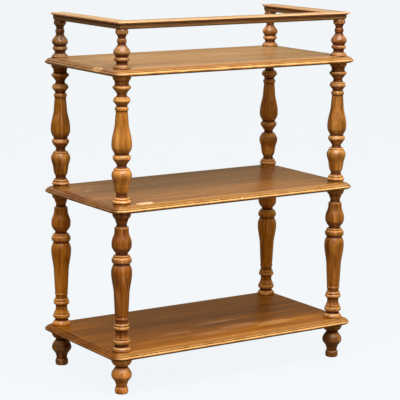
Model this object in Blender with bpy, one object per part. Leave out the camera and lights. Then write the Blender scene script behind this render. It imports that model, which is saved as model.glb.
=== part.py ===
"""Console etagere: three moulded shelves on turned feet and posts, with a mitred gallery rail on three sides.

Lengths are in metres. X runs along the shelves, the open side of the gallery faces -Y and the feet stand at Z = 0.
Every turned piece carries a tenon on top. It passes through the board above and ends in the socket of the next
piece, and the tenons of the spindles end in the rail.
"""

import math

import bmesh
import bpy
import numpy as np

# Post axes
POST_SPACING_LENGTH = 0.700
POST_SPACING_DEPTH = 0.3284

# Shelf boards. The overhang is how far a board passes the post axes
SHELF_THICKNESS = 0.019
BOTTOM_SHELF_OVERHANG = 0.0435
MIDDLE_SHELF_OVERHANG = 0.0410
TOP_SHELF_OVERHANG = 0.0400
SHELF_CORNER_RADIUS = 0.035
SHELF_MOULDING_WIDTH = 0.022

# Turned pieces
FOOT_HEIGHT = 0.0962
FOOT_RADIUS = 0.0275
LOWER_POST_HEIGHT = 0.3724
LOWER_POST_RADIUS = 0.0278
UPPER_POST_HEIGHT = 0.3364
UPPER_POST_RADIUS = 0.0268
SPINDLE_HEIGHT = 0.1004
SPINDLE_RADIUS = 0.0221

# Gallery rail
RAIL_WIDTH = 0.0428
RAIL_HEIGHT = 0.0205
RAIL_FREE_END = 0.0122

# Tenons, and the room that they have in their holes
TENON_RADIUS = 0.008
TENON_REACH = 0.018
RAIL_TENON_RADIUS = 0.005
RAIL_TENON_LENGTH = 0.012
TENON_CLEARANCE = 0.0003
TENON_END_ROOM = 0.001
SEAT_GAP = 0.0003
MITRE_GAP = 0.0003

# Facets and cuts
TURNING_SIDES = 12
CORNER_FACETS = 4
FACET_LENGTH = 0.016
MOST_FACETS = 3
CUT_OVERRUN = 0.002
MERGE_DISTANCE = 0.00001
SHARP_ANGLE = math.radians(35)

# A row is one member of an outline: its line, the share of the height and the share of the width where it ends
# and, on a bead or a cove, the share of the width at its crest or waist. Posts, feet and spindles run from the
# base up, and the mouldings of the shelves and the rail from the top down.
FOOT_SHARES = (
    ("start", 0.000, 0.560),
    ("bead", 0.177, 0.565, 0.655),
    ("cove", 0.279, 0.585, 0.540),
    ("sweep", 0.520, 1.000),
    ("swell", 0.774, 0.550),
    ("swell", 0.889, 0.930),
    ("bead", 1.000, 0.960, 1.010),
)
LOWER_POST_SHARES = (
    ("start", 0.000, 0.880),
    ("bead", 0.016, 0.875, 0.920),
    ("sweep", 0.043, 0.625),
    ("flat", 0.052, 0.725),
    ("bead", 0.084, 0.735, 0.850),
    ("flat", 0.085, 0.700),
    ("bead", 0.098, 0.685, 0.740),
    ("flat", 0.124, 0.570),
    ("flat", 0.150, 0.595),
    ("flat", 0.158, 0.700),
    ("bead", 0.183, 0.690, 0.800),
    ("bead", 0.200, 0.655, 0.725),
    ("across", 0.218, 0.590),
    ("flat", 0.229, 0.610),
    ("bead", 0.245, 0.625, 0.670),
    ("flat", 0.271, 0.660),
    ("flat", 0.396, 0.740),
    ("sweep", 0.575, 1.000),
    ("swell", 0.635, 0.745),
    ("bead", 0.680, 0.850, 0.960),
    ("flat", 0.682, 0.810),
    ("bead", 0.695, 0.745, 0.805),
    ("across", 0.708, 0.565),
    ("swell", 0.765, 0.960),
    ("flat", 0.783, 0.960),
    ("sweep", 0.866, 0.685),
    ("flat", 0.894, 0.665),
    ("across", 0.915, 0.480),
    ("flat", 0.947, 0.620),
    ("sweep", 0.975, 0.845),
    ("bead", 0.994, 0.850, 0.880),
    ("flat", 1.000, 0.850),
)
UPPER_POST_SHARES = (
    ("start", 0.000, 0.815),
    ("flat", 0.015, 0.800),
    ("bead", 0.036, 0.835, 0.920),
    ("bead", 0.058, 0.680, 0.770),
    ("across", 0.083, 0.520),
    ("flat", 0.107, 0.685),
    ("flat", 0.153, 0.785),
    ("sweep", 0.236, 1.000),
    ("swell", 0.276, 0.785),
    ("bead", 0.288, 0.730, 0.775),
    ("across", 0.312, 0.465),
    ("flat", 0.338, 0.675),
    ("flat", 0.340, 0.715),
    ("flat", 0.358, 0.840),
    ("bead", 0.380, 0.860, 0.895),
    ("sweep", 0.400, 0.685),
    ("swell", 0.461, 1.000),
    ("flat", 0.476, 1.000),
    ("sweep", 0.655, 0.665),
    ("flat", 0.732, 0.580),
    ("bead", 0.765, 0.560, 0.675),
    ("flat", 0.774, 0.515),
    ("flat", 0.803, 0.795),
    ("bead", 0.824, 0.790, 0.855),
    ("bead", 0.838, 0.715, 0.770),
    ("across", 0.864, 0.465),
    ("flat", 0.890, 0.680),
    ("flat", 0.892, 0.720),
    ("flat", 0.905, 0.850),
    ("bead", 0.925, 0.830, 0.905),
    ("across", 0.942, 0.675),
    ("flat", 0.958, 0.700),
    ("sweep", 0.983, 0.880),
    ("flat", 1.000, 0.915),
)
SPINDLE_SHARES = (
    ("start", 0.000, 1.015),
    ("bead", 0.038, 0.975, 1.050),
    ("sweep", 0.133, 0.640),
    ("flat", 0.189, 0.730),
    ("bead", 0.289, 0.755, 0.925),
    ("flat", 0.312, 0.740),
    ("swell", 0.420, 1.000),
    ("sweep", 0.641, 0.480),
    ("bead", 0.761, 0.480, 0.570),
    ("flat", 0.791, 0.450),
    ("flat", 0.871, 0.610),
    ("bead", 0.975, 0.740, 0.765),
    ("flat", 1.000, 0.690),
)
SHELF_EDGE_SHARES = (
    ("start", 1.000, 0.020),
    ("fall", 0.620, 0.780),
    ("flat", 0.590, 0.770),
    ("bead", 0.170, 0.840, 1.000),
    ("flat", 0.125, 0.770),
    ("along", 0.000, 0.300),
)
RAIL_SIDE_SHARES = (
    ("start", 1.000, 0.950),
    ("across", 0.945, 1.000),
    ("flat", 0.890, 1.000),
    ("flat", 0.855, 0.960),
    ("flat", 0.855, 0.800),
    ("across", 0.560, 0.650),
    ("flat", 0.460, 0.680),
    ("along", 0.050, 0.525),
    ("flat", 0.000, 0.525),
)

# Posts by the side of the frame that they stand on, along X and along Y
CORNERS = {
    "front_left": (-1, -1),
    "front_right": (1, -1),
    "back_left": (-1, 1),
    "back_right": (1, 1),
}

# Colours of the waxed wood
TURNED_COLOUR = (0.36, 0.15, 0.035, 1)
RAIL_COLOUR = (0.50, 0.26, 0.09, 1)
TOP_SHELF_COLOUR = (0.42, 0.22, 0.085, 1)
MIDDLE_SHELF_COLOUR = (0.27, 0.15, 0.06, 1)
BOTTOM_SHELF_COLOUR = (0.31, 0.155, 0.055, 1)
WAX_ROUGHNESS = 0.38


def facets_over(start, end):
    """How many facets a curve between two points takes, by its length."""
    return min(MOST_FACETS, 1 + int(math.dist(start, end) / FACET_LENGTH))


def between(start, end, across, along):
    """Points that lie the given shares of the way across and along from start to end."""
    return [
        (start[0] + (end[0] - start[0]) * a, start[1] + (end[1] - start[1]) * b)
        for a, b in zip(across, along)
    ]


def quarter(start, end, across_first):
    """A quarter of an ellipse from start to end. It sets off across or along, and arrives the other way."""
    turn = np.linspace(0, math.pi / 2, facets_over(start, end) + 1)[1:]
    if across_first:
        return between(start, end, np.sin(turn), 1 - np.cos(turn))
    return between(start, end, 1 - np.cos(turn), np.sin(turn))


def half_round(start, end, reach):
    """A bead or a cove: two quarters that meet half-way along, at the width reach."""
    middle = (reach, (start[1] + end[1]) / 2)
    return quarter(start, middle, True) + quarter(middle, end, False)


def swell(start, end):
    """A quarter of a sine wave that runs along where it is widest."""
    along = np.linspace(0, 1, facets_over(start, end) + 1)[1:]
    if end[0] > start[0]:
        return between(start, end, np.sin(along * math.pi / 2), along)
    return between(start, end, 1 - np.cos(along * math.pi / 2), along)


def sweep(start, end):
    """Half of a cosine wave, which runs along at both ends."""
    along = np.linspace(0, 1, facets_over(start, end) + 1)[1:]
    return between(start, end, (1 - np.cos(along * math.pi)) / 2, along)


def fall(start, end):
    """Part of a parabola that sets off across and steepens all the way."""
    across = np.linspace(0, 1, facets_over(start, end) + 1)[1:]
    return between(start, end, across, across**2)


def outline(shares, width, height):
    """The (width, height) points of an outline from the rows of its members."""
    points = []
    for line, height_share, width_share, *reach_share in shares:
        end = (width * width_share, height * height_share)
        if line in ("start", "flat"):
            points += [end]
        elif line in ("across", "along"):
            points += quarter(points[-1], end, line == "across")
        elif line in ("bead", "cove"):
            points += half_round(points[-1], end, width * reach_share[0])
        elif line == "swell":
            points += swell(points[-1], end)
        elif line == "fall":
            points += fall(points[-1], end)
        else:
            points += sweep(points[-1], end)
    return points


def new_object(name, mesh, place):
    """An object of this mesh at this place, in the scene."""
    made = bpy.data.objects.new(name, mesh)
    made.location = place
    bpy.context.scene.collection.objects.link(made)
    return made


def smooth(mesh):
    """Shades the mesh smooth, with its corners sharp."""
    mesh.shade_smooth()
    mesh.set_sharp_from_angle(angle=SHARP_ANGLE)


def wax(piece, colour):
    """Gives the piece its own waxed wood."""
    wood = bpy.data.materials.new(piece.name + "_wood")
    wood.use_nodes = True
    shader = wood.node_tree.nodes["Principled BSDF"]
    shader.inputs["Base Color"].default_value = colour
    shader.inputs["Roughness"].default_value = WAX_ROUGHNESS
    shader.inputs["Metallic"].default_value = 0
    piece.data.materials.append(wood)


def lathe(name, points):
    """Mesh that the (radius, height) points sweep out round Z. The first and the last point lie on the axis."""
    shape = bmesh.new()
    row = [shape.verts.new((radius, 0, height)) for radius, height in points]
    edges = [shape.edges.new(pair) for pair in zip(row, row[1:])]
    bmesh.ops.spin(
        shape,
        geom=row + edges,
        cent=(0, 0, 0),
        axis=(0, 0, 1),
        angle=math.tau,
        steps=TURNING_SIDES,
        use_merge=True,
    )
    bmesh.ops.remove_doubles(shape, verts=shape.verts, dist=MERGE_DISTANCE)
    bmesh.ops.recalc_face_normals(shape, faces=shape.faces)
    mesh = bpy.data.meshes.new(name)
    shape.to_mesh(mesh)
    shape.free()
    smooth(mesh)
    return mesh


def turned(name, body, tenon_radius, tenon_length, socket_depth, place):
    """A turned piece: a socket in the base, the body's outline and a tenon on top."""
    below = [(0, 0)]
    if socket_depth:
        socket_radius = TENON_RADIUS + TENON_CLEARANCE
        below = [(0, socket_depth), (socket_radius, socket_depth), (socket_radius, 0)]
    shoulder = body[-1][1]
    tenon_end = shoulder + tenon_length
    above = [(tenon_radius, shoulder), (tenon_radius, tenon_end), (0, tenon_end)]
    piece = new_object(name, lathe(name, below + body + above), place)
    wax(piece, TURNED_COLOUR)


def cutter(name, radius, length, place):
    """A round cutter that stands at place and isn't part of the object."""
    points = [(0, 0), (radius, 0), (radius, length), (0, length)]
    made = new_object(name, lathe(name, points), place)
    made.hide_render = True
    made.display_type = "WIRE"
    return made


def bore(piece, cutters):
    """Cuts each of the cutters out of the piece."""
    for tool in cutters:
        cut = piece.modifiers.new(tool.name, "BOOLEAN")
        cut.operation = "DIFFERENCE"
        cut.solver = "EXACT"
        cut.object = tool


def loft(name, rings):
    """Closed mesh through rings of points that correspond, with the first and the last ring filled in."""
    count = len(rings[0])
    points = [point for ring in rings for point in ring]
    faces = [list(range(count)), list(range(len(points) - count, len(points)))]
    for first in range(0, len(points) - count, count):
        for side in range(count):
            after = (side + 1) % count
            faces += [[first + side, first + after, first + after + count, first + side + count]]
    mesh = bpy.data.meshes.new(name)
    mesh.from_pydata(points, [], faces)
    shape = bmesh.new()
    shape.from_mesh(mesh)
    bmesh.ops.recalc_face_normals(shape, faces=shape.faces)
    shape.to_mesh(mesh)
    shape.free()
    smooth(mesh)
    return mesh


def shelf_ring(overhang, projection, height):
    """Rounded rectangle round a board that passes the post axes by overhang, at one level of its moulding."""
    centre_x = POST_SPACING_LENGTH / 2 + overhang - SHELF_CORNER_RADIUS
    centre_y = POST_SPACING_DEPTH / 2 + overhang - SHELF_CORNER_RADIUS
    radius = SHELF_CORNER_RADIUS - SHELF_MOULDING_WIDTH + projection
    ring = []
    for quadrant, (side_x, side_y) in enumerate([(1, 1), (-1, 1), (-1, -1), (1, -1)]):
        for step in range(CORNER_FACETS + 1):
            turn = (quadrant + step / CORNER_FACETS) * math.pi / 2
            x = side_x * centre_x + radius * math.cos(turn)
            y = side_y * centre_y + radius * math.sin(turn)
            ring += [(x, y, height)]
    return ring


def shelf(name, colour, overhang, height, cutters):
    """A board with the moulding worked round its edge, bored for the tenons at its corners."""
    edge = outline(SHELF_EDGE_SHARES, SHELF_MOULDING_WIDTH, SHELF_THICKNESS)
    rings = [shelf_ring(overhang, projection, level) for projection, level in edge]
    piece = new_object(name, loft(name, rings), (0, 0, height))
    wax(piece, colour)
    bore(piece, cutters)


def rail(name, start, end, outward, start_mitre, end_mitre, height, cutters):
    """A length of rail between two points in plan. At a mitred end it grows with its distance outward."""
    side = outline(RAIL_SIDE_SHARES, RAIL_WIDTH / 2, RAIL_HEIGHT)
    section = side + [(-across, level) for across, level in reversed(side)]
    start, end, outward = np.array(start), np.array(end), np.array(outward)
    along = (end - start) / np.linalg.norm(end - start)
    set_back = MITRE_GAP / 2 * math.sqrt(2)
    rings = []
    for corner, heading, mitre in ((start, -along, start_mitre), (end, along, end_mitre)):
        ring = []
        for across, level in section:
            growth = mitre * (across - set_back)
            ring += [(*(corner + outward * across + heading * growth), level)]
        rings += [ring]
    piece = new_object(name, loft(name, rings), (0, 0, height))
    wax(piece, RAIL_COLOUR)
    bore(piece, cutters)


for leftover in list(bpy.data.objects):
    bpy.data.objects.remove(leftover)

# Levels of the boards, the posts and the rail
bottom_shelf_height = FOOT_HEIGHT + SEAT_GAP
lower_post_height = bottom_shelf_height + SHELF_THICKNESS + SEAT_GAP
middle_shelf_height = lower_post_height + LOWER_POST_HEIGHT + SEAT_GAP
upper_post_height = middle_shelf_height + SHELF_THICKNESS + SEAT_GAP
top_shelf_height = upper_post_height + UPPER_POST_HEIGHT + SEAT_GAP
spindle_height = top_shelf_height + SHELF_THICKNESS + SEAT_GAP
rail_height = spindle_height + SPINDLE_HEIGHT + SEAT_GAP

# Turned pieces at each corner, and the cutters for their tenons
through_length = SHELF_THICKNESS + 2 * SEAT_GAP + TENON_REACH
socket_depth = TENON_REACH + TENON_END_ROOM
shelf_bore_start = bottom_shelf_height - CUT_OVERRUN
shelf_bore_length = top_shelf_height + SHELF_THICKNESS + CUT_OVERRUN - shelf_bore_start
rail_bore_start = rail_height - CUT_OVERRUN
rail_bore_length = CUT_OVERRUN + RAIL_TENON_LENGTH - SEAT_GAP + TENON_END_ROOM
foot_body = outline(FOOT_SHARES, FOOT_RADIUS, FOOT_HEIGHT)
lower_post_body = outline(LOWER_POST_SHARES, LOWER_POST_RADIUS, LOWER_POST_HEIGHT)
upper_post_body = outline(UPPER_POST_SHARES, UPPER_POST_RADIUS, UPPER_POST_HEIGHT)
spindle_body = outline(SPINDLE_SHARES, SPINDLE_RADIUS, SPINDLE_HEIGHT)
shelf_cutters = {}
rail_cutters = {}
for corner, (side_x, side_y) in CORNERS.items():
    x = side_x * POST_SPACING_LENGTH / 2
    y = side_y * POST_SPACING_DEPTH / 2
    turned(f"foot_{corner}", foot_body, TENON_RADIUS, through_length, 0, (x, y, 0))
    turned(
        f"lower_post_{corner}",
        lower_post_body,
        TENON_RADIUS,
        through_length,
        socket_depth,
        (x, y, lower_post_height),
    )
    turned(
        f"upper_post_{corner}",
        upper_post_body,
        TENON_RADIUS,
        through_length,
        socket_depth,
        (x, y, upper_post_height),
    )
    turned(
        f"gallery_spindle_{corner}",
        spindle_body,
        RAIL_TENON_RADIUS,
        RAIL_TENON_LENGTH,
        socket_depth,
        (x, y, spindle_height),
    )
    shelf_cutters[corner] = cutter(
        f"shelf_bore_{corner}",
        TENON_RADIUS + TENON_CLEARANCE,
        shelf_bore_length,
        (x, y, shelf_bore_start),
    )
    rail_cutters[corner] = cutter(
        f"rail_bore_{corner}",
        RAIL_TENON_RADIUS + TENON_CLEARANCE,
        rail_bore_length,
        (x, y, rail_bore_start),
    )

# Shelves
shelf(
    "bottom_shelf",
    BOTTOM_SHELF_COLOUR,
    BOTTOM_SHELF_OVERHANG,
    bottom_shelf_height,
    shelf_cutters.values(),
)
shelf(
    "middle_shelf",
    MIDDLE_SHELF_COLOUR,
    MIDDLE_SHELF_OVERHANG,
    middle_shelf_height,
    shelf_cutters.values(),
)
shelf(
    "top_shelf",
    TOP_SHELF_COLOUR,
    TOP_SHELF_OVERHANG,
    top_shelf_height,
    shelf_cutters.values(),
)

# Gallery rails, mitred over the back spindles and cut square past the front ones
half_length = POST_SPACING_LENGTH / 2
half_depth = POST_SPACING_DEPTH / 2
free_end = -half_depth - RAIL_FREE_END
rail(
    "gallery_rail_back",
    (-half_length, half_depth),
    (half_length, half_depth),
    (0, 1),
    1,
    1,
    rail_height,
    [rail_cutters["back_left"], rail_cutters["back_right"]],
)
rail(
    "gallery_rail_left",
    (-half_length, free_end),
    (-half_length, half_depth),
    (-1, 0),
    0,
    1,
    rail_height,
    [rail_cutters["front_left"], rail_cutters["back_left"]],
)
rail(
    "gallery_rail_right",
    (half_length, free_end),
    (half_length, half_depth),
    (1, 0),
    0,
    1,
    rail_height,
    [rail_cutters["front_right"], rail_cutters["back_right"]],
)
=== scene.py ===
"""A waxed console etagere: turned feet, posts and spindles, three moulded shelves and a mitred rail.

Lengths are in metres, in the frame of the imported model: X along the shelves, -Y the open front and
Z up from the floor.
"""

import math

import bpy
import numpy as np
from mathutils import Matrix


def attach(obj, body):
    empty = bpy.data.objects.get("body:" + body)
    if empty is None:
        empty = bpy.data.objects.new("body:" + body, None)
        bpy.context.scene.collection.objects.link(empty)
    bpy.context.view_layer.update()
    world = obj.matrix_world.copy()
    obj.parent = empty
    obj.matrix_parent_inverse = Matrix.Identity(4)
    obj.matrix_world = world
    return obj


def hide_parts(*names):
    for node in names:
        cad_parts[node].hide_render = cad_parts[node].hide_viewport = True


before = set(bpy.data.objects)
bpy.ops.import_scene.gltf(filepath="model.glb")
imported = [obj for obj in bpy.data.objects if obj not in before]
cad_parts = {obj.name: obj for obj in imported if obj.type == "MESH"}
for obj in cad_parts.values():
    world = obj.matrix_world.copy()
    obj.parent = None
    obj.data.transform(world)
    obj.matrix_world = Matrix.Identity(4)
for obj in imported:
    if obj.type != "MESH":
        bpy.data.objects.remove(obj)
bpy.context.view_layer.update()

# Sizes shared with the solids
POST_SPACING = np.array([0.700, 0.3284])
SHELF_THICKNESS = 0.019
BOTTOM_SHELF_OVERHANG = 0.0435
MIDDLE_SHELF_OVERHANG = 0.0410
TOP_SHELF_OVERHANG = 0.0400
SHELF_CORNER_RADIUS = 0.035
SHELF_MOULDING_WIDTH = 0.022
FOOT_HEIGHT = 0.0962
FOOT_RADIUS = 0.0275
LOWER_POST_HEIGHT = 0.3724
LOWER_POST_RADIUS = 0.0278
UPPER_POST_HEIGHT = 0.3364
UPPER_POST_RADIUS = 0.0268
SPINDLE_HEIGHT = 0.1004
SPINDLE_RADIUS = 0.0221
RAIL_WIDTH = 0.0428
RAIL_HEIGHT = 0.0205
RAIL_FREE_END = 0.0122
SEAT_GAP = 0.0003

# Levels of the pieces, from the floor up
FOOT_LEVEL = 0.0
BOTTOM_SHELF_LEVEL = FOOT_LEVEL + FOOT_HEIGHT + SEAT_GAP
LOWER_POST_LEVEL = BOTTOM_SHELF_LEVEL + SHELF_THICKNESS + SEAT_GAP
MIDDLE_SHELF_LEVEL = LOWER_POST_LEVEL + LOWER_POST_HEIGHT + SEAT_GAP
UPPER_POST_LEVEL = MIDDLE_SHELF_LEVEL + SHELF_THICKNESS + SEAT_GAP
TOP_SHELF_LEVEL = UPPER_POST_LEVEL + UPPER_POST_HEIGHT + SEAT_GAP
SPINDLE_LEVEL = TOP_SHELF_LEVEL + SHELF_THICKNESS + SEAT_GAP
RAIL_LEVEL = SPINDLE_LEVEL + SPINDLE_HEIGHT + SEAT_GAP

# Outlines. The first row is where one begins, and each other row is a member: its line, the share of
# the height and of the width where it ends and, on a bead or a cove, of the width at its crest or waist
FOOT_SHARES = (
    ("start", 0.000, 0.560),
    ("bead", 0.177, 0.565, 0.655),
    ("cove", 0.279, 0.585, 0.540),
    ("sweep", 0.520, 1.000),
    ("swell", 0.774, 0.550),
    ("swell", 0.889, 0.930),
    ("bead", 1.000, 0.960, 1.010),
)
LOWER_POST_SHARES = (
    ("start", 0.000, 0.880),
    ("bead", 0.016, 0.875, 0.920),
    ("sweep", 0.043, 0.625),
    ("flat", 0.052, 0.725),
    ("bead", 0.084, 0.735, 0.850),
    ("flat", 0.085, 0.700),
    ("bead", 0.098, 0.685, 0.740),
    ("flat", 0.124, 0.570),
    ("flat", 0.150, 0.595),
    ("flat", 0.158, 0.700),
    ("bead", 0.183, 0.690, 0.800),
    ("bead", 0.200, 0.655, 0.725),
    ("across", 0.218, 0.590),
    ("flat", 0.229, 0.610),
    ("bead", 0.245, 0.625, 0.670),
    ("flat", 0.271, 0.660),
    ("flat", 0.396, 0.740),
    ("sweep", 0.575, 1.000),
    ("swell", 0.635, 0.745),
    ("bead", 0.680, 0.850, 0.960),
    ("flat", 0.682, 0.810),
    ("bead", 0.695, 0.745, 0.805),
    ("across", 0.708, 0.565),
    ("swell", 0.765, 0.960),
    ("flat", 0.783, 0.960),
    ("sweep", 0.866, 0.685),
    ("flat", 0.894, 0.665),
    ("across", 0.915, 0.480),
    ("flat", 0.947, 0.620),
    ("sweep", 0.975, 0.845),
    ("bead", 0.994, 0.850, 0.880),
    ("flat", 1.000, 0.850),
)
UPPER_POST_SHARES = (
    ("start", 0.000, 0.815),
    ("flat", 0.015, 0.800),
    ("bead", 0.036, 0.835, 0.920),
    ("bead", 0.058, 0.680, 0.770),
    ("across", 0.083, 0.520),
    ("flat", 0.107, 0.685),
    ("flat", 0.153, 0.785),
    ("sweep", 0.236, 1.000),
    ("swell", 0.276, 0.785),
    ("bead", 0.288, 0.730, 0.775),
    ("across", 0.312, 0.465),
    ("flat", 0.338, 0.675),
    ("flat", 0.340, 0.715),
    ("flat", 0.358, 0.840),
    ("bead", 0.380, 0.860, 0.895),
    ("sweep", 0.400, 0.685),
    ("swell", 0.461, 1.000),
    ("flat", 0.476, 1.000),
    ("sweep", 0.655, 0.665),
    ("flat", 0.732, 0.580),
    ("bead", 0.765, 0.560, 0.675),
    ("flat", 0.774, 0.515),
    ("flat", 0.803, 0.795),
    ("bead", 0.824, 0.790, 0.855),
    ("bead", 0.838, 0.715, 0.770),
    ("across", 0.864, 0.465),
    ("flat", 0.890, 0.680),
    ("flat", 0.892, 0.720),
    ("flat", 0.905, 0.850),
    ("bead", 0.925, 0.830, 0.905),
    ("across", 0.942, 0.675),
    ("flat", 0.958, 0.700),
    ("sweep", 0.983, 0.880),
    ("flat", 1.000, 0.915),
)
SPINDLE_SHARES = (
    ("start", 0.000, 1.015),
    ("bead", 0.038, 0.975, 1.050),
    ("sweep", 0.133, 0.640),
    ("flat", 0.189, 0.730),
    ("bead", 0.289, 0.755, 0.925),
    ("flat", 0.312, 0.740),
    ("swell", 0.420, 1.000),
    ("sweep", 0.641, 0.480),
    ("bead", 0.761, 0.480, 0.570),
    ("flat", 0.791, 0.450),
    ("flat", 0.871, 0.610),
    ("bead", 0.975, 0.740, 0.765),
    ("flat", 1.000, 0.690),
)
SHELF_EDGE_SHARES = (
    ("start", 1.000, 0.020),
    ("across", 0.975, 0.060),
    ("fall", 0.660, 0.800),
    ("flat", 0.575, 0.795),
    ("flat", 0.570, 0.735),
    ("bead", 0.170, 0.830, 1.000),
    ("flat", 0.125, 0.770),
    ("along", 0.000, 0.300),
)
RAIL_SIDE_SHARES = (
    ("start", 1.000, 0.950),
    ("across", 0.945, 1.000),
    ("flat", 0.840, 1.000),
    ("flat", 0.800, 0.960),
    ("flat", 0.790, 0.880),
    ("flat", 0.660, 0.760),
    ("across", 0.520, 0.650),
    ("flat", 0.450, 0.680),
    ("along", 0.050, 0.525),
    ("flat", 0.000, 0.525),
)

# Fineness of the surfaces
CURVE_STEP = 0.0012
TURNED_SIDES = 72
CORNER_STEPS = 14
RAIL_RINGS = 9
SHARP_ANGLE = math.radians(38)

# Turning by hand: the share by which a turning is out of round, and how fast the places where it is
# fullest drift round it with its height
OUT_OF_ROUND = 0.004
DRIFT = 40.0

# Relief: the lengths over which it is read, what the long one counts for, and the height of a full crest
SHORT_REACH = 0.0036
LONG_REACH = 0.0085
LONG_REACH_SHARE = 0.25
RELIEF_DEPTH = 0.0017
SAMPLES_PER_REACH = 12

# The fan over a rail's end spreads from this share of its height, where the whole section is in sight
RAIL_FAN_SHARE = 0.93


def eased(line, start, end):
    """Points after start on one line of an outline, for a share t from 0 to 1 of the way.

    Flat: both coordinates go with t. Across: the width goes with sin and the height with 1 - cos of a
    quarter turn. Along: the other way about. Swell: the width goes with that sin or 1 - cos and the
    height with t, so that the line runs along where it is widest. Sweep: the width goes with half of
    1 - cos of a half turn and the height with t. Fall: the width goes with t and the height with its
    square.
    """
    count = max(2, int(math.dist(start, end) / CURVE_STEP))
    t = np.linspace(0, 1, count + 1)[1:]
    quick, slow = np.sin(t * math.pi / 2), 1 - np.cos(t * math.pi / 2)
    widening = end[0] > start[0]
    shares = {
        "flat": (t, t),
        "across": (quick, slow),
        "along": (slow, quick),
        "swell": (quick if widening else slow, t),
        "sweep": ((1 - np.cos(t * math.pi)) / 2, t),
        "fall": (t, t**2),
    }[line]
    return np.array(start) + np.stack(shares, axis=1) * (np.array(end) - start)


def outline(shares, width, height):
    """The (width, height) points of an outline, member by member.

    A bead or a cove is two quarters of an ellipse, and any other member is one line.
    """
    runs = []
    for line, height_share, width_share, *reach_share in shares:
        end = (width * width_share, height * height_share)
        if line == "start":
            runs += [np.array([end])]
        elif reach_share:
            middle = (width * reach_share[0], (runs[-1][-1][1] + end[1]) / 2)
            runs += [eased("across", runs[-1][-1], middle)]
            runs += [eased("along", middle, end)]
        else:
            runs += [eased(line, runs[-1][-1], end)]
    return np.concatenate(runs)


def standing_out(points, side, reach):
    """How far each point of an open outline lies outside the same outline smoothed over this reach.

    The smoothing is a Gaussian average along the length of the outline, and side is 1 or -1, for the
    side on which the outline's outer face lies.
    """
    steps = np.linalg.norm(np.diff(points, axis=0), axis=1)
    length = np.concatenate([[0], np.cumsum(steps)])
    even = np.arange(0, length[-1], reach / SAMPLES_PER_REACH)
    spread = np.stack([np.interp(even, length, points[:, axis]) for axis in (0, 1)], axis=1)
    margin = 3 * SAMPLES_PER_REACH
    padded = np.pad(spread, ((margin, margin), (0, 0)), mode="reflect", reflect_type="odd")
    weight = np.exp(-0.5 * (np.arange(-margin, margin + 1) / SAMPLES_PER_REACH) ** 2)
    weight = weight / weight.sum()
    soft = np.stack([np.convolve(padded[:, axis], weight, "valid") for axis in (0, 1)], axis=1)
    heading = np.gradient(soft, axis=0)
    heading = heading / np.linalg.norm(heading, axis=1, keepdims=True)
    outward = np.stack([heading[:, 1], -heading[:, 0]], axis=1) * side
    return np.interp(length, even, ((spread - soft) * outward).sum(axis=1))


def relief(points, side):
    """From -1, deep in a groove or a waist, to 1, on a crest.

    It is what stands out over the short reach and a share of what stands out over the long one.
    """
    height = standing_out(points, side, SHORT_REACH)
    height = height + standing_out(points, side, LONG_REACH) * LONG_REACH_SHARE
    return np.clip(height / RELIEF_DEPTH, -1, 1)


def crown(points, side):
    """How far an open outline's outer face looks up, from -1 to 1: its unit normal's upward part."""
    heading = np.gradient(points, axis=0)
    return -heading[:, 0] / np.linalg.norm(heading, axis=1) * side


def skin(name, rings, wear_and_shading, first_centre, last_centre):
    """Closed mesh through rings of points, an array (rings, points, 3), with a fan over each end.

    wear_and_shading holds what the wear and the painted light and shade depend on: arrays (rings,
    points), kept as attributes.
    """
    count, around = rings.shape[:2]
    points = np.concatenate([rings.reshape(-1, 3), [first_centre], [last_centre]])
    index = np.arange(count * around).reshape(count, around)
    after = np.roll(index, -1, axis=1)
    walls = np.stack([index[:-1], after[:-1], after[1:], index[1:]], axis=-1).reshape(-1, 4)
    first_fan = np.stack([after[0], index[0], np.full(around, count * around)], axis=-1)
    last_fan = np.stack([index[-1], after[-1], np.full(around, count * around + 1)], axis=-1)
    faces = [*walls.tolist(), *first_fan.tolist(), *last_fan.tolist()]
    mesh = bpy.data.meshes.new(name)
    mesh.from_pydata(points.tolist(), [], faces)
    for title, values in wear_and_shading.items():
        values = np.broadcast_to(values, (count, around))
        mesh.attributes.new(title, "FLOAT", "POINT")
        ends = [values[0].mean(), values[-1].mean()]
        mesh.attributes[title].data.foreach_set("value", np.concatenate([values.ravel(), ends]))
    mesh.shade_smooth()
    mesh.set_sharp_from_angle(angle=SHARP_ANGLE)
    return mesh


def place_piece(name, mesh, wood, node):
    """Puts the mesh in the scene as the piece that stands for this node."""
    mesh.materials.append(wood)
    piece = bpy.data.objects.new(name, mesh)
    bpy.context.scene.collection.objects.link(piece)
    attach(piece, "root")
    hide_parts(node)


def turning(name, profile, centre, level):
    """A turned piece: the profile (r, z) carried round its axis, r cos t and r sin t for t round a turn.

    It is a little out of round. With s the share out of round, r is first multiplied by 1 - s + s c,
    where c is the cos of twice t plus the drift times z.
    """
    t = np.linspace(0, math.tau, TURNED_SIDES, endpoint=False)
    fullness = np.cos(2 * t + profile[:, 1:] * DRIFT)
    radius = profile[:, :1] * (1 - OUT_OF_ROUND + OUT_OF_ROUND * fullness)
    x = centre[0] + radius * np.cos(t)
    y = centre[1] + radius * np.sin(t)
    z = np.broadcast_to(profile[:, 1:] + level, radius.shape)
    rings = np.stack([x, y, z], axis=-1)
    wear_and_shading = {"relief": relief(profile, 1)[:, None], "crown": crown(profile, 1)[:, None]}
    first = (*centre, rings[0, 0, 2])
    last = (*centre, rings[-1, 0, 2])
    return skin(name, rings, wear_and_shading, first, last)


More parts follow.
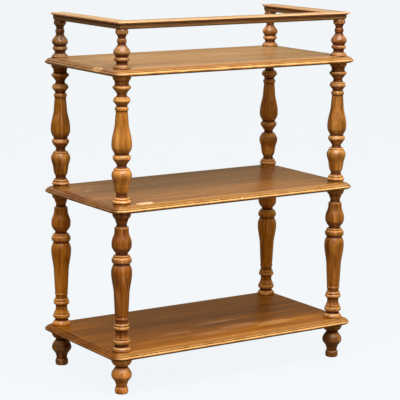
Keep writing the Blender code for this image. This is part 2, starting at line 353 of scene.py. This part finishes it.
def board(name, level, overhang):
    """A shelf: its edge outline (width, height) carried round a rounded rectangle.

    Each corner turns about a centre, by r cos t and r sin t for a quarter turn of t. For each point of
    the outline, r is the corner's radius less the moulding's width, plus the point's own width.
    """
    edge = outline(SHELF_EDGE_SHARES, SHELF_MOULDING_WIDTH, SHELF_THICKNESS)[::-1]
    centre = POST_SPACING / 2 + overhang - SHELF_CORNER_RADIUS
    radius = SHELF_CORNER_RADIUS - SHELF_MOULDING_WIDTH + edge[:, :1]
    quadrant = np.repeat(np.arange(4), CORNER_STEPS + 1)
    t = (quadrant + np.tile(np.linspace(0, 1, CORNER_STEPS + 1), 4)) * math.pi / 2
    side_x = np.array([1, -1, -1, 1])[quadrant]
    side_y = np.array([1, 1, -1, -1])[quadrant]
    x = side_x * centre[0] + radius * np.cos(t)
    y = side_y * centre[1] + radius * np.sin(t)
    z = np.broadcast_to(edge[:, 1:] + level, x.shape)
    rings = np.stack([x, y, z], axis=-1)
    wear_and_shading = {"relief": relief(edge, 1)[:, None], "crown": crown(edge, 1)[:, None]}
    return skin(name, rings, wear_and_shading, (0, 0, level), (0, 0, level + SHELF_THICKNESS))


def rail(name, start, end, outward, mitres):
    """A length of rail: its section carried straight from start to end.

    Each end runs on by its own share in mitres of the distance outward: 1 cuts a mitre at 45 degrees,
    set back by half the glue line, and 0 a square end.
    """
    side = outline(RAIL_SIDE_SHARES, RAIL_WIDTH / 2, RAIL_HEIGHT)
    section = np.concatenate([side, (side * (-1, 1))[::-1]])
    start, end, outward = np.array(start), np.array(end), np.array(outward)
    length = np.linalg.norm(end - start)
    heading = (end - start) / length
    across = section[:, 0]
    set_back = SEAT_GAP / math.sqrt(2)
    first = -mitres[0] * (across - set_back)
    last = length + mitres[1] * (across - set_back)
    share = np.linspace(0, 1, RAIL_RINGS)[:, None]
    run = first + (last - first) * share
    plan = start + run[..., None] * heading + across[None, :, None] * outward
    z = np.broadcast_to(section[:, 1] + RAIL_LEVEL, run.shape)
    rings = np.concatenate([plan, z[..., None]], axis=-1)
    wear_and_shading = {"relief": relief(side, -1), "crown": crown(side, -1)}
    wear_and_shading = {title: np.concatenate([values, values[::-1]]) for title, values in wear_and_shading.items()}
    fan_level = RAIL_LEVEL + RAIL_HEIGHT * RAIL_FAN_SHARE
    ends = [(*(start + heading * along), fan_level) for along in (first.mean(), last.mean())]
    # Where outward lies to the left of the heading, the rings go backwards, to keep the faces outward
    if heading[0] * outward[1] - heading[1] * outward[0] > 0:
        rings = rings[::-1]
        ends = ends[::-1]
    return skin(name, rings, wear_and_shading, *ends)


class Thread:
    """One value of a finish. Sums, differences and products of threads and numbers add Math nodes."""

    def __init__(self, finish, socket):
        self.finish = finish
        self.socket = socket

    def math(self, operation, *values):
        """A Math node of this operation on these values."""
        return self.finish.node("ShaderNodeMath", {"operation": operation}, dict(enumerate(values)))

    def __add__(self, other):
        return self.math("ADD", self, other)

    def __radd__(self, other):
        return self.math("ADD", other, self)

    def __sub__(self, other):
        return self.math("SUBTRACT", self, other)

    def __rsub__(self, other):
        return self.math("SUBTRACT", other, self)

    def __mul__(self, other):
        return self.math("MULTIPLY", self, other)

    def __rmul__(self, other):
        return self.math("MULTIPLY", other, self)

    def __abs__(self):
        return self.math("ABSOLUTE", self)

    def most(self, other):
        """The larger of the two values."""
        return self.math("MAXIMUM", self, other)

    def floor(self):
        """The whole number below the value."""
        return self.math("FLOOR", self)

    def between(self, low, high, soft):
        """1 from low to high and 0 outside them, going over within soft on either side of each."""
        return self.rise(low - soft, low + soft) * (1 - self.rise(high - soft, high + soft))

    def rise(self, low, high):
        """0 below low, 1 above high and smooth between them."""
        values = {"Value": self, "From Min": low, "From Max": high}
        return self.finish.node("ShaderNodeMapRange", {"interpolation_type": "SMOOTHSTEP"}, values)


class Finish:
    """The nodes of one material or of the room's light, added one by one."""

    def __init__(self, owner):
        owner.use_nodes = True
        self.owner = owner
        self.tree = owner.node_tree
        self.tree.nodes.clear()

    def node(self, kind, settings=None, values=None, output=0):
        """A node of this kind, with its settings made first, then the values or links of its sockets."""
        made = self.tree.nodes.new(kind)
        for name, value in (settings or {}).items():
            if name == "stops":
                ramp = made.color_ramp
                while len(ramp.elements) < len(value):
                    ramp.elements.new(0.5)
                for element, (position, shade) in zip(ramp.elements, value):
                    element.position = position
                    element.color = shade
            else:
                setattr(made, name, value)
        for name, value in (values or {}).items():
            if isinstance(value, Thread):
                self.tree.links.new(value.socket, made.inputs[name])
            else:
                made.inputs[name].default_value = value
        return Thread(self, made.outputs[output]) if made.outputs else None

    def moved(self, vector, offset):
        """The vector with the offset added to it."""
        return self.node("ShaderNodeVectorMath", {"operation": "ADD"}, {0: vector, 1: offset})

    def scaled(self, vector, factors):
        """The vector with each of its parts multiplied by its own factor."""
        return self.node("ShaderNodeVectorMath", {"operation": "MULTIPLY"}, {0: vector, 1: factors})

    def drawn_out(self, vector, grain, share):
        """The vector with its part along the grain cut to a share, to draw a pattern out that way."""
        return self.scaled(vector, [share if axis == grain else 1.0 for axis in "XYZ"])

    def noise(self, vector, scale, detail, roughness=0.5, distortion=0.0):
        """A cloudy value from 0 to 1, mostly near 0.5, of this scale per metre."""
        values = {
            "Vector": vector,
            "Scale": scale,
            "Detail": detail,
            "Roughness": roughness,
            "Distortion": distortion,
        }
        return self.node("ShaderNodeTexNoise", {}, values)

    def mix(self, share, first, second, blend="MIX"):
        """The first colour with a share of the second laid over it or, by another blend, worked in.

        A Mix node takes the share at socket 0 and the colours at 6 and 7, and gives its own at output 2.
        """
        settings = {"data_type": "RGBA", "blend_type": blend}
        return self.node("ShaderNodeMix", settings, {0: share, 6: first, 7: second}, output=2)

    def shader(self, shade, roughness, bump, coat, coat_roughness, specular):
        """Ends the finish in its surface."""
        values = {
            "Base Color": shade,
            "Roughness": roughness,
            "Normal": bump,
            "Specular IOR Level": specular,
            "Coat Weight": coat,
            "Coat Roughness": coat_roughness,
        }
        surface = self.node("ShaderNodeBsdfPrincipled", {}, values)
        self.node("ShaderNodeOutputMaterial", {}, {"Surface": surface})
        return self.owner


def colour(red, green, blue):
    """A colour given as it looks on a screen, from 0 to 255, as the light that it stands for."""
    shares = np.array([red, green, blue]) / 255
    linear = np.where(shares <= 0.04045, shares / 12.92, ((shares + 0.055) / 1.055) ** 2.4)
    return (*linear.tolist(), 1)


def tones(*stops):
    """Stops of a ramp, from rows of a position and a screen colour."""
    return [(position, colour(*shade)) for position, *shade in stops]


def tinted(stops, *shares):
    """The ramp of another piece of the same wood: each colour times shares of red, green and blue."""
    return [(position, (*np.multiply(shade[:3], shares).tolist(), 1)) for position, shade in stops]


# Colours that lie over the wood, as they look on a screen
# Grime with painted shade, laid in the hollows
GRIME_AND_HOLLOW_SHADE = colour(72, 28, 2)
# Wear from handling with painted highlight, laid on crests, on what looks up and along the arris
HANDLED_AND_HIGHLIGHT = colour(236, 180, 116)
SCRATCHED = colour(206, 164, 122)
# Pale wear on the boards, and a painted highlight along the rail's lip
WORN_AND_HIGHLIGHT = colour(240, 200, 156)
FLUSH = colour(206, 140, 88)
# Painted highlight on the nose of the shelves' moulding
NOSE_HIGHLIGHT = colour(246, 198, 140)
TOP_BAND = colour(152, 98, 26)
MIDDLE_BAND = colour(194, 148, 88)
BOTTOM_BAND = colour(184, 136, 76)

# Shares of red, green and blue that are left where the wood is darkened
DARK_STREAK = (0.56, 0.43, 0.22, 1)
# Darkens the pores, and the line inside the shelves' moulding, where it is painted shade on the ends
PORE_AND_LINE_SHADE = (0.42, 0.34, 0.27, 1)
# Painted shade on what looks down
UNDERSIDE_SHADE = (0.50, 0.36, 0.22, 1)
PLANK_SHADE = (0.78, 0.72, 0.64, 1)
# Dark end grain, deepened as painted shade on the shelves' ends
END_GRAIN_AND_SHADE = (0.55, 0.42, 0.33, 1)
# Painted shade on the sloping shoulder of the shelves' moulding
SHOULDER_SHADE = (0.52, 0.47, 0.34, 1)
# Painted shade where the shelves' moulding turns down
UNDERCUT_SHADE = (0.38, 0.37, 0.36, 1)
# Painted shade down the rail's sides, below its cap
RAIL_SIDE_SHADE = (0.50, 0.37, 0.17, 1)
# Painted shade in the cove under the rail's cap
RAIL_COVE_SHADE = (0.45, 0.27, 0.06, 1)

# Tones of the woods, from the dark growth lines to the pale ones
GOLDEN_TONES = tones(
    (0.30, 94, 52, 14),
    (0.44, 134, 82, 27),
    (0.56, 157, 104, 43),
    (0.70, 182, 135, 76),
)
BROWN_TONES = tones(
    (0.30, 67, 35, 9),
    (0.44, 112, 67, 24),
    (0.56, 138, 90, 42),
    (0.70, 169, 126, 76),
)
RED_TONES = tones(
    (0.30, 65, 28, 6),
    (0.44, 109, 58, 16),
    (0.56, 133, 76, 26),
    (0.70, 164, 106, 50),
)
RAIL_TONES = tones(
    (0.30, 110, 82, 52),
    (0.44, 141, 112, 82),
    (0.56, 157, 128, 98),
    (0.70, 173, 148, 119),
)
TOP_TONES = tones(
    (0.30, 110, 75, 42),
    (0.44, 137, 101, 63),
    (0.56, 150, 116, 76),
    (0.70, 165, 133, 93),
)
MIDDLE_TONES = tones(
    (0.30, 90, 53, 19),
    (0.44, 121, 77, 33),
    (0.56, 138, 91, 41),
    (0.70, 162, 114, 56),
)
BOTTOM_TONES = tones(
    (0.30, 70, 35, 2),
    (0.44, 107, 61, 6),
    (0.56, 130, 77, 10),
    (0.70, 158, 101, 21),
)

# Growth lines and pores: how long they are for their width is one over these
GRAIN_SHARE = 0.07
PORE_SHARE = 0.03

# Width of the boards that a shelf is glued up from, and depth of the bump that the grain gives
PLANK_WIDTH = 0.11
GRAIN_DEPTH = 0.0006


class Wood:
    """Waxed wood whose grain runs along one axis: its colour, its figure, its wear and painted light and
    shade.

    Growth lines are a noise drawn out along the grain and mixed with a broader one, and they pick the
    colour from a ramp of tones. Pores and streaks are finer and longer noises, and clouds are a broad
    one that is not drawn out. Relief and facing come from the piece: below is 1 where a point lies
    deep, above where it stands out, crown where it looks up and underside where it looks down.
    """

    def __init__(self, name, grain, shades, shift, line_scale, streaked):
        finish = Finish(bpy.data.materials.new(name))
        self.finish = finish
        self.place = finish.node("ShaderNodeTexCoord", output="Object")
        moved = finish.moved(self.place, shift)
        grain_space = finish.drawn_out(moved, grain, GRAIN_SHARE)
        pore_space = finish.drawn_out(moved, grain, PORE_SHARE)
        waves = finish.noise(grain_space, line_scale * 0.35, detail=2.0, distortion=0.4)
        self.lines = finish.noise(grain_space, line_scale, detail=5.0, roughness=0.62, distortion=1.2)
        self.pores = finish.noise(pore_space, scale=950.0, detail=2.0, roughness=0.6)
        self.streaks = finish.noise(pore_space, scale=260.0, detail=3.0, roughness=0.6)
        self.clouds = finish.noise(moved, scale=26.0, detail=3.0)
        self.figure = self.lines * 0.55 + waves * 0.45
        relief = finish.node("ShaderNodeAttribute", {"attribute_name": "relief"}, output="Fac")
        self.facing = finish.node("ShaderNodeAttribute", {"attribute_name": "crown"}, output="Fac")
        self.crown = self.facing.rise(0.30, 0.92)
        self.underside = (0 - self.facing).rise(0.10, 0.85)
        self.below = (0 - relief).rise(0.05, 0.80)
        self.above = relief.rise(0.20, 0.98) * self.clouds.rise(0.30, 0.62)
        self.shade = finish.node("ShaderNodeValToRGB", {"stops": shades}, {"Fac": self.figure})
        self.darken(self.streaks.rise(0.56, 0.74) * streaked, PORE_AND_LINE_SHADE)
        self.darken(self.pores.rise(0.55, 0.75) * streaked * 0.7, PORE_AND_LINE_SHADE)

    def darken(self, share, shade):
        """Multiplies the colour by this shade, by this share."""
        self.shade = self.finish.mix(share, self.shade, shade, "MULTIPLY")

    def lay(self, share, shade):
        """Lays this colour over the wood, by this share."""
        self.shade = self.finish.mix(share, self.shade, shade)

    def patch(self, centre, reach):
        """1 round a centre and 0 past its reach along each axis, with a ragged outline."""
        away = self.finish.moved(self.place, [-along for along in centre])
        away = self.finish.scaled(away, [1 / along for along in reach])
        length = {"operation": "LENGTH"}
        far = self.finish.node("ShaderNodeVectorMath", length, {0: away}, output="Value")
        ragged = self.finish.noise(self.place, 0.6 / min(reach), detail=3.0) - 0.5
        return 1 - (far + ragged).rise(0.55, 1.0)

    def waxed(
        self,
        roughness,
        coat,
        coat_roughness,
        specular,
        texture,
        grime_and_shade=0.80,
        painted_top_light=0.0,
        crest_wear_and_highlight=0.52,
    ):
        """Painted highlight on what looks up, wear and painted highlight on what stands out, painted
        shade on what looks down, grime and painted shade in what lies low, and wax over all.

        painted_top_light, crest_wear_and_highlight and grime_and_shade are how much of each there is,
        and texture how strong the bump is.
        """
        # Painted highlight: pale colour on what looks up, where the light from above falls
        self.lay((1 - self.below) * self.crown * painted_top_light, HANDLED_AND_HIGHLIGHT)
        # Wear and painted highlight on what stands out
        self.lay(self.above * crest_wear_and_highlight, HANDLED_AND_HIGHLIGHT)
        # Painted shade on what looks down
        self.darken(self.underside * 0.55, UNDERSIDE_SHADE)
        # Grime and painted shade in what lies deep
        self.lay(self.below * grime_and_shade, GRIME_AND_HOLLOW_SHADE)
        rough = roughness + (self.lines - 0.5) * 0.16 + self.below * 0.28 - self.above * 0.05
        height = self.figure * 0.3 + self.pores * 0.35 + self.streaks * 0.35
        bump_values = {"Strength": texture, "Distance": GRAIN_DEPTH, "Height": height}
        bump = self.finish.node("ShaderNodeBump", {}, bump_values)
        waxy = coat * (1 - self.below)
        return self.finish.shader(self.shade, rough, bump, waxy, coat_roughness, specular)


def turned_wood(name, shades, shift, painted_top_light):
    """Wood of the posts, feet and spindles: upright grain, dark lines, a warm flush and glossy wax."""
    wood = Wood(name, "Z", shades, shift, line_scale=70.0, streaked=0.26)
    wood.darken((1 - wood.lines.rise(0.40, 0.52)) * 0.42, DARK_STREAK)
    wood.lay(wood.lines.rise(0.54, 0.66) * wood.clouds.rise(0.35, 0.60) * 0.45, FLUSH)
    return wood.waxed(
        roughness=0.34,
        coat=0.30,
        coat_roughness=0.22,
        specular=0.25,
        texture=0.25,
        grime_and_shade=0.85,
        painted_top_light=painted_top_light,
        crest_wear_and_highlight=0.36,
    )


def shelf_wood(name, shades, shift, overhang, band_shade, wax, shaded, marks):
    """Wood of a board: planks of unlike tint, a golden moulding on its long sides, dark end grain
    deepened by painted shade, and painted shade and highlights on the moulding.

    ends and band are how far a point lies outside the flat of the face, along the length and along the
    depth, and edge is the larger. turned is 0 where the moulding runs along the length, 1 where it runs
    along the depth, and blended at the corner. wax goes from 0, dull, to 1, glossy, and shaded is how
    much painted shade darkens the moulding's long sides as they turn down.
    """
    wood = Wood(name, "X", shades, shift, line_scale=34.0, streaked=0.36)
    place = {"Vector": wood.place}
    along = wood.finish.node("ShaderNodeSeparateXYZ", {}, place, output="X")
    across = wood.finish.node("ShaderNodeSeparateXYZ", {}, place, output="Y")
    plank = (across * (1 / PLANK_WIDTH) + shift[0]).floor()
    one_way = {"noise_dimensions": "1D"}
    tint = wood.finish.node("ShaderNodeTexWhiteNoise", one_way, {"W": plank}, output="Value")
    wood.darken(tint * 0.5, PLANK_SHADE)
    half_length, half_depth = POST_SPACING / 2 + overhang - SHELF_MOULDING_WIDTH
    ends = abs(along) - half_length
    band = abs(across) - half_depth
    edge = ends.most(band)
    turned = (ends - band).rise(-0.012, 0.012)
    on_edge = edge.rise(-0.001, 0.003)
    wood.lay(on_edge * (1 - turned) * 0.5, band_shade)
    # Painted shade on the sloping shoulder of the moulding's long sides
    shoulder_shade = edge.between(0.0035, 0.0178, 0.0015)
    wood.darken(shoulder_shade * (1 - turned) * 0.8, SHOULDER_SHADE)
    # Painted shade where the moulding of the long sides turns down
    low = (0 - wood.facing).rise(-0.78, -0.20) * (1 - turned) * shaded
    wood.darken(low, UNDERCUT_SHADE)
    # Dark end grain on the ends' moulding, deepened as painted shade
    wood.darken(on_edge * turned * 0.7, END_GRAIN_AND_SHADE)
    # Painted highlight on the upper half of the moulding's nose
    nose_highlight = edge.rise(0.0175, 0.0195)
    wood.lay(nose_highlight * (1 - turned) * wood.crown * 0.3, NOSE_HIGHLIGHT)
    # Wear and painted highlight along the rounded arris where the moulding leaves the face
    arris_wear_and_highlight = 1 - abs(edge - 0.0012).rise(0.0003, 0.0014)
    wood.lay(arris_wear_and_highlight * wood.clouds.rise(0.25, 0.60) * 0.25, HANDLED_AND_HIGHLIGHT)
    # A dark line just inside the moulding, faint on the long sides and painted shade on the ends
    inner_line_and_shade = 1 - abs(edge + 0.0015).rise(0.0004, 0.0020)
    wood.darken(inner_line_and_shade * (turned * 0.6 + 0.06), PORE_AND_LINE_SHADE)
    wood.above = wood.above * (1 - turned * 0.75) * (1 - low)
    scuffed = wood.streaks.rise(0.40, 0.60) * 0.7 + 0.3
    for centre, reach, shade, share in marks:
        wood.lay(wood.patch(centre, reach) * scuffed * share, shade)
    return wood.waxed(
        roughness=0.46 - 0.21 * wax,
        coat=0.20 * wax,
        coat_roughness=0.30,
        specular=0.3 * wax,
        texture=0.12,
    )


def rail_wood(name, grain, shift):
    """Wood of the gallery rail: pale on its cap and brown down its sides, where shade is painted, with
    painted shade in its cove and a painted highlight along the lip of its cap.
    """
    wood = Wood(name, grain, RAIL_TONES, shift, line_scale=60.0, streaked=0.3)
    place = {"Vector": wood.place}
    height = wood.finish.node("ShaderNodeSeparateXYZ", {}, place, output="Z") - RAIL_LEVEL
    cap = height.rise(RAIL_HEIGHT * 0.64, RAIL_HEIGHT * 0.80)
    # Painted shade down the sides, below the cap
    wood.darken((1 - cap) * 0.9, RAIL_SIDE_SHADE)
    # Painted shade in the cove under the cap
    cove = height.between(RAIL_HEIGHT * 0.35, RAIL_HEIGHT * 0.66, 0.0015)
    wood.darken(cove * 0.7, RAIL_COVE_SHADE)
    # Painted highlight along the lip of the cap
    lip_highlight = height.between(RAIL_HEIGHT * 0.66, RAIL_HEIGHT * 0.95, 0.0006)
    wood.lay(lip_highlight * 0.5, WORN_AND_HIGHLIGHT)
    return wood.waxed(
        roughness=0.32,
        coat=0.2,
        coat_roughness=0.30,
        specular=0.4,
        texture=0.2,
        grime_and_shade=0.35,
    )


# The side of each corner post, along X and along Y
corners = {
    "front_left": (-1, -1),
    "front_right": (1, -1),
    "back_left": (-1, 1),
    "back_right": (1, 1),
}
# Each turning has its own tint: foot, lower post, upper post and spindle of each corner. The tint is
# partly the tone of its own piece of wood and partly painted light and shade
corner_tones_and_light = {
    "front_left": (
        tinted(BROWN_TONES, 0.90, 0.85, 0.70),
        tinted(GOLDEN_TONES, 1.60, 1.55, 0.60),
        tinted(GOLDEN_TONES, 1.50, 1.50, 1.10),
        tinted(RED_TONES, 1.15, 1.45, 2.00),
    ),
    "front_right": (
        tinted(BROWN_TONES, 0.90, 0.85, 0.70),
        tinted(GOLDEN_TONES, 1.40, 1.30, 0.50),
        tinted(GOLDEN_TONES, 0.96, 0.92, 0.40),
        tinted(RED_TONES, 0.34, 0.37, 0.55),
    ),
    "back_left": (
        tinted(BROWN_TONES, 0.70, 0.60, 0.45),
        tinted(BROWN_TONES, 1.20, 1.15, 0.80),
        tinted(GOLDEN_TONES, 1.05, 1.17, 1.40),
        tinted(RED_TONES, 0.70, 0.70, 0.80),
    ),
    "back_right": (
        # The back right foot is brightened as painted light, in place of light from the pale floor
        tinted(GOLDEN_TONES, 1.85, 1.90, 2.60),
        tinted(BROWN_TONES, 0.84, 0.66, 0.30),
        tinted(GOLDEN_TONES, 1.10, 1.12, 1.05),
        tinted(RED_TONES, 0.54, 0.53, 0.34),
    ),
}
# Kinds of turning: profile, level, and how much painted highlight lies on what looks up
turnings = {
    "foot": (
        outline(FOOT_SHARES, FOOT_RADIUS, FOOT_HEIGHT),
        FOOT_LEVEL,
        0.5,
    ),
    "lower_post": (
        outline(LOWER_POST_SHARES, LOWER_POST_RADIUS, LOWER_POST_HEIGHT),
        LOWER_POST_LEVEL,
        0.5,
    ),
    "upper_post": (
        outline(UPPER_POST_SHARES, UPPER_POST_RADIUS, UPPER_POST_HEIGHT),
        UPPER_POST_LEVEL,
        0.5,
    ),
    "gallery_spindle": (
        outline(SPINDLE_SHARES, SPINDLE_RADIUS, SPINDLE_HEIGHT),
        SPINDLE_LEVEL,
        0.25,
    ),
}
for number, (corner, sides) in enumerate(corners.items()):
    centre = POST_SPACING / 2 * sides
    for (kind, (profile, level, painted_top_light)), shades in zip(turnings.items(), corner_tones_and_light[corner]):
        # Each turning is cut from its own place in the pattern of the wood
        shift = (0.31 * number, 0.17 * number, 0.43 * number + 1.3 * level)
        wood = turned_wood(f"{kind}_{corner}_wood", shades, shift, painted_top_light)
        mesh = turning(f"{kind}_{corner}_turned", profile, centre, level)
        place_piece(mesh.name, mesh, wood, f"{kind}_{corner}")

# Worn places on the boards: centre, reach, colour and how much it covers
marks = {
    "bottom_shelf": (
        ((-0.170, 0.125, 0.1155), (0.070, 0.024, 0.010), SCRATCHED, 0.30),
        ((-0.070, 0.105, 0.1155), (0.085, 0.020, 0.010), SCRATCHED, 0.26),
        ((0.040, 0.132, 0.1155), (0.075, 0.015, 0.010), SCRATCHED, 0.24),
        ((0.130, 0.085, 0.1155), (0.065, 0.013, 0.010), SCRATCHED, 0.20),
        ((-0.030, 0.040, 0.1155), (0.095, 0.016, 0.010), SCRATCHED, 0.18),
    ),
    "middle_shelf": (
        ((0.285, 0.172, 0.507), (0.034, 0.016, 0.010), WORN_AND_HIGHLIGHT, 0.85),
        ((0.322, -0.060, 0.507), (0.012, 0.009, 0.010), WORN_AND_HIGHLIGHT, 0.45),
        ((-0.004, 0.204, 0.500), (0.004, 0.006, 0.004), WORN_AND_HIGHLIGHT, 0.9),
    ),
    "top_shelf": (((0.386, 0.095, 0.858), (0.014, 0.030, 0.010), SCRATCHED, 0.7),),
}
# Level, overhang past the posts, tones, colour of the moulding, wax, painted shade where the moulding
# turns down and shift of the pattern
shelves = {
    "bottom_shelf": (
        BOTTOM_SHELF_LEVEL,
        BOTTOM_SHELF_OVERHANG,
        BOTTOM_TONES,
        BOTTOM_BAND,
        0.3,
        0.8,
        (0.0, 0.0, 0.0),
    ),
    "middle_shelf": (
        MIDDLE_SHELF_LEVEL,
        MIDDLE_SHELF_OVERHANG,
        MIDDLE_TONES,
        MIDDLE_BAND,
        0.9,
        0.8,
        (0.7, 0.3, 0.0),
    ),
    "top_shelf": (
        TOP_SHELF_LEVEL,
        TOP_SHELF_OVERHANG,
        TOP_TONES,
        TOP_BAND,
        1.0,
        0.2,
        (1.9, 0.9, 0.0),
    ),
}
for node, (level, overhang, shades, band_shade, wax, shaded, shift) in shelves.items():
    finish_name = f"{node}_waxed"
    wood = shelf_wood(finish_name, shades, shift, overhang, band_shade, wax, shaded, marks[node])
    mesh = board(f"{node}_board", level, overhang)
    place_piece(mesh.name, mesh, wood, node)

# Lengths of rail: start, end, direction outward, mitre of each end and grain
half_length, half_depth = POST_SPACING / 2
back_left = (-half_length, half_depth)
back_right = (half_length, half_depth)
front_left = (-half_length, -half_depth - RAIL_FREE_END)
front_right = (half_length, -half_depth - RAIL_FREE_END)
rails = {
    "gallery_rail_back": (back_left, back_right, (0, 1), (1, 1), "X"),
    "gallery_rail_left": (front_left, back_left, (-1, 0), (0, 1), "Y"),
    "gallery_rail_right": (front_right, back_right, (1, 0), (0, 1), "Y"),
}
for node, (start, end, outward, mitres, grain) in rails.items():
    wood = rail_wood(f"{node}_waxed", grain, shift=(0.2, 0.5, 0.1))
    mesh = rail(f"{node}_moulded", start, end, outward, mitres)
    place_piece(mesh.name, mesh, wood, node)

# The floor glows almost as pale as the room, and neither lights the wood nor shows in its gloss
PALE = colour(242, 246, 249)
FLOOR_REACH = 40.0
FLOOR_GLOW = 0.98
floor_mesh = bpy.data.meshes.new("floor")
floor_corners = [(x * FLOOR_REACH, y * FLOOR_REACH, 0) for x, y in ((-1, -1), (1, -1), (1, 1), (-1, 1))]
floor_mesh.from_pydata(floor_corners, [], [(0, 1, 2, 3)])
floor_finish = Finish(bpy.data.materials.new("pale_floor"))
floor_values = {
    "Base Color": (0.02, 0.02, 0.02, 1),
    "Roughness": 0.9,
    "Specular IOR Level": 0.0,
    "Emission Color": PALE,
    "Emission Strength": FLOOR_GLOW,
}
floor_surface = floor_finish.node("ShaderNodeBsdfPrincipled", {}, floor_values)
floor_finish.node("ShaderNodeOutputMaterial", {}, {"Surface": floor_surface})
floor_mesh.materials.append(floor_finish.owner)
floor = bpy.data.objects.new("floor", floor_mesh)
bpy.context.scene.collection.objects.link(floor)
floor.visible_diffuse = False
floor.visible_glossy = False

# The room is pale where the camera sees it, and lights the wood dimly from the sides and more from
# above. Low down it is brighter in the gloss than in the light that it gives
LOW_LIGHT = (0.14, 0.082, 0.03, 1)
LOW_GLOSS = (0.36, 0.24, 0.12, 1)
HIGH_LIGHT = (0.95, 0.86, 0.73, 1)
world = bpy.data.worlds.new("soft_room")
room = Finish(world)
seen = room.node("ShaderNodeLightPath", output="Is Camera Ray")
mirrored = room.node("ShaderNodeLightPath", output="Is Glossy Ray")
heading = room.node("ShaderNodeTexCoord", output="Generated")
upward = room.node("ShaderNodeSeparateXYZ", {}, {"Vector": heading}, output="Z")
low_glow = room.mix(mirrored, LOW_LIGHT, LOW_GLOSS)
glow = room.mix(upward.rise(0.0, 0.9), low_glow, HIGH_LIGHT)
room_light = {"Color": room.mix(seen, glow, PALE), "Strength": 1.0}
background = room.node("ShaderNodeBackground", {}, room_light)
room.node("ShaderNodeOutputWorld", {}, {"Surface": background})
bpy.context.scene.world = world
bpy.context.scene.view_settings.view_transform = "Standard"

# The point that the lamps face
LIT_POINT = (0, 0, 0.5)


def stand(thing, place, back, roll=0.0):
    """Puts a lamp or a camera at place, facing away from the unit vector back, turned about it by roll.

    Its right is the cross of upright and back, its up the cross of back and right, and roll turns both.
    """
    right = np.cross((0, 0, 1), back)
    right = right / np.linalg.norm(right)
    up = np.cross(back, right)
    turned_right = math.cos(roll) * right + math.sin(roll) * up
    turned_up = math.cos(roll) * up - math.sin(roll) * right
    matrix = np.eye(4)
    matrix[:3, :3] = np.stack([turned_right, turned_up, back], axis=1)
    matrix[:3, 3] = place
    thing.matrix_world = Matrix(matrix.tolist())
    bpy.context.scene.collection.objects.link(thing)


def soft_box(name, place, size, power, shade, mirrored):
    """A square light at place that faces the lit point. One that isn't mirrored shows in no gloss."""
    light = bpy.data.lights.new(name, "AREA")
    light.size = size
    light.energy = power
    light.color = shade
    lamp = bpy.data.objects.new(name, light)
    lamp.visible_glossy = mirrored
    away = np.array(place) - LIT_POINT
    stand(lamp, place, away / np.linalg.norm(away))


soft_box(
    "top_light",
    place=(0.5, 1.3, 3.0),
    size=2.6,
    power=200.0,
    shade=(1.0, 0.96, 0.90),
    mirrored=True,
)
soft_box(
    "front_light",
    place=(0.5, 5.6, 1.5),
    size=2.0,
    power=76.0,
    shade=(1.0, 0.95, 0.87),
    mirrored=False,
)

# The camera stands 4.8 m from the middle of the piece, on its closed side, and looks 10.5 degrees down
CAMERA_PLACE = (2.618, 3.98473, 1.34494)
AZIMUTH = math.radians(146.679)
ELEVATION = math.radians(10.494)
ROLL = math.radians(0.525)
LENS = 156.3
SENSOR_WIDTH = 36.0
camera_back = np.array(
    [
        math.sin(AZIMUTH) * math.cos(ELEVATION),
        -math.cos(AZIMUTH) * math.cos(ELEVATION),
        math.sin(ELEVATION),
    ]
)
camera_data = bpy.data.cameras.new("camera")
camera_data.lens = LENS
camera_data.sensor_width = SENSOR_WIDTH
camera = bpy.data.objects.new("camera", camera_data)
stand(camera, CAMERA_PLACE, camera_back, ROLL)
bpy.context.scene.camera = camera
